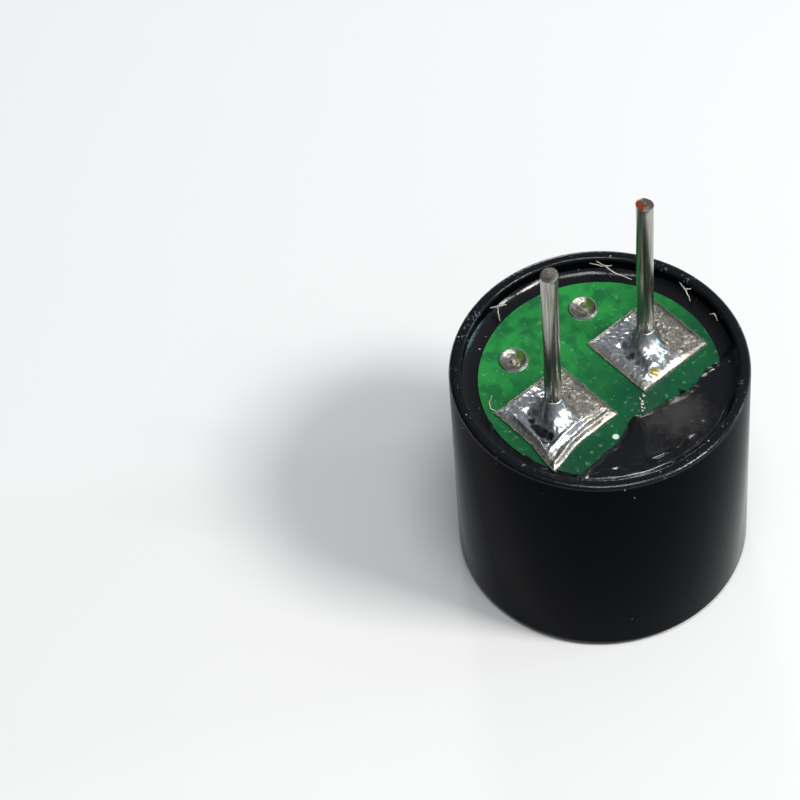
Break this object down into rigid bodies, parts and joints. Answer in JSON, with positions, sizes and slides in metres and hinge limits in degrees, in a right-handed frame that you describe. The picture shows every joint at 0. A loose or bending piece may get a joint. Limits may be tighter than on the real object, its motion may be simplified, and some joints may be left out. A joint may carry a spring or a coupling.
{
  "type": "piezo buzzer",
  "caption": "Round black buzzer in a moulded can: a sound hole in one end, and in the other a green board with square soldered pads, straight wire pins and black epoxy.",
  "frame": {"origin": "centre of the sound face, on the surface the can stands on", "axes": "+Z along the pins, away from the sound face; +X from the can's axis to the plus pin; the board's broken side faces -Y"},
  "size_m": [0.012, 0.012, 0.019],
  "materials": {
    "black_plastic": "glossy moulded ABS",
    "marking_ink": "matt light grey print",
    "board_laminate": "glossy green solder mask over glass epoxy",
    "copper_foil": "etched copper, tinned where it shows",
    "tinned_wire": "tinned copper wire with sheared ends",
    "solder": "hand-soldered tin alloy, bright and lumpy",
    "black_epoxy": "cast epoxy, semi-gloss",
    "brass_sheet": "rolled brass",
    "piezo_ceramic": "fired piezo ceramic",
    "silver_film": "fired silver film",
    "silicone": "translucent silicone bead",
    "red_insulation": "red wire insulation",
    "black_insulation": "black wire insulation",
    "chip_moulding": "moulded black epoxy",
    "chip_ceramic": "ceramic chip body"
  },
  "bodies": {
    "root": {"case": "black_plastic", "polarity_mark": "marking_ink", "board": "board_laminate", "pad_plus": "copper_foil", "pad_minus": "copper_foil", "pin_plus": "tinned_wire", "pin_minus": "tinned_wire", "pin_solder_plus": "solder", "pin_solder_minus": "solder", "lead_eyelet_plus": "copper_foil", "lead_eyelet_minus": "copper_foil", "lead_solder_plus": "solder", "lead_solder_minus": "solder", "potting": "black_epoxy", "diaphragm": "brass_sheet", "ceramic_disc": "piezo_ceramic", "electrode": "silver_film", "bond_ring": "silicone", "lead_core_plus": "tinned_wire", "lead_core_minus": "tinned_wire", "lead_sleeve_plus": "red_insulation", "lead_sleeve_minus": "black_insulation", "element_solder_plus": "solder", "element_solder_minus": "solder", "inner_copper": "copper_foil", "driver_body": "chip_moulding", "driver_legs": "tinned_wire", "resistor_body": "chip_ceramic", "resistor_ends": "solder", "capacitor_body": "chip_ceramic", "capacitor_ends": "solder"}
  },
  "joints": []
}
